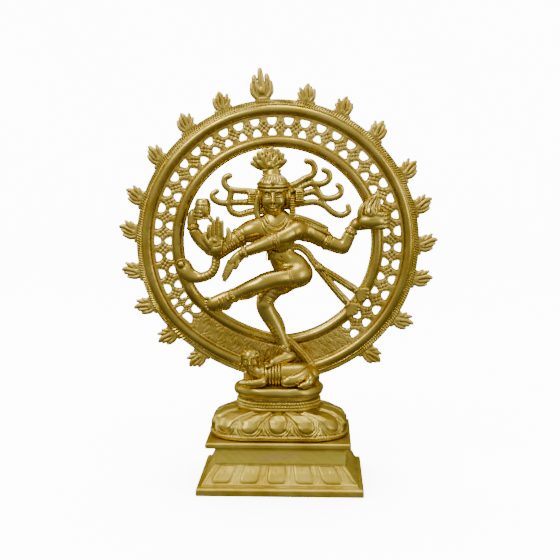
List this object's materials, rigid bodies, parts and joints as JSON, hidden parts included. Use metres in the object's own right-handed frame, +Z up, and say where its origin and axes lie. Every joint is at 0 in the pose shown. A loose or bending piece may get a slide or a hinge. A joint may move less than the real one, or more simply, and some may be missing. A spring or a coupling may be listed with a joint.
{
  "type": "brass nataraja statue",
  "caption": "Dancing figure with raised leg inside a pierced ring of flames, standing on a dwarf, lotus base and stepped plinth, all cast brass.",
  "frame": {"origin": "middle of the plinth's foot, on the surface that it stands on", "axes": "+Z up, -Y is the front that the dancer faces, +X to the viewer's right"},
  "size_m": [0.2998, 0.115, 0.3879],
  "materials": {
    "brass_plinth": "ground and buffed, with faint heat tint",
    "brass_base": "buffed on high spots, dark in the carving",
    "brass_roll": "polished",
    "brass_satin": "satin cast surface, dark in recesses",
    "brass_figure": "polished on limbs, dark in recesses",
    "hidden_steel": "plain turned steel"
  },
  "bodies": {
    "root": {"anklets": "brass_figure", "armlets": "brass_figure", "beaded_collar": "brass_base", "blessing_arm": "brass_figure", "blessing_hand": "brass_figure", "bracelets": "brass_figure", "clamp_stud": "hidden_steel", "crossing_arm": "brass_figure", "crossing_hand": "brass_figure", "drum_arm": "brass_figure", "dwarf_arm": "brass_figure", "dwarf_body": "brass_figure", "dwarf_head": "brass_figure", "dwarf_leg": "brass_figure", "dwarf_platform": "brass_base", "dwarf_shin": "brass_figure", "ear_ornaments": "brass_figure", "feather_crown": "brass_satin", "fire_arm": "brass_figure", "fire_bowl": "brass_figure", "fire_hand": "brass_figure", "hand_drum": "brass_figure", "head": "brass_figure", "left_flames": "brass_satin", "left_hair": "brass_satin", "leg_bands": "brass_figure", "leg_web": "brass_satin", "lotus_base": "brass_base", "necklace": "brass_figure", "plinth": "brass_plinth", "raised_foot": "brass_figure", "raised_leg": "brass_figure", "right_flames": "brass_satin", "right_hair": "brass_satin", "ring_apron": "brass_satin", "ring_inner_roll": "brass_roll", "ring_lattice": "brass_satin", "ring_outer_roll": "brass_roll", "ring_pins": "brass_figure", "ring_saddle": "brass_satin", "sash": "brass_figure", "shoulder_shawl": "brass_figure", "snake": "brass_figure", "standing_foot": "brass_figure", "standing_leg": "brass_figure", "stud_nut": "hidden_steel", "stud_washer": "hidden_steel", "top_flame": "brass_satin", "top_slab": "brass_plinth", "torso": "brass_figure"}
  },
  "joints": []
}
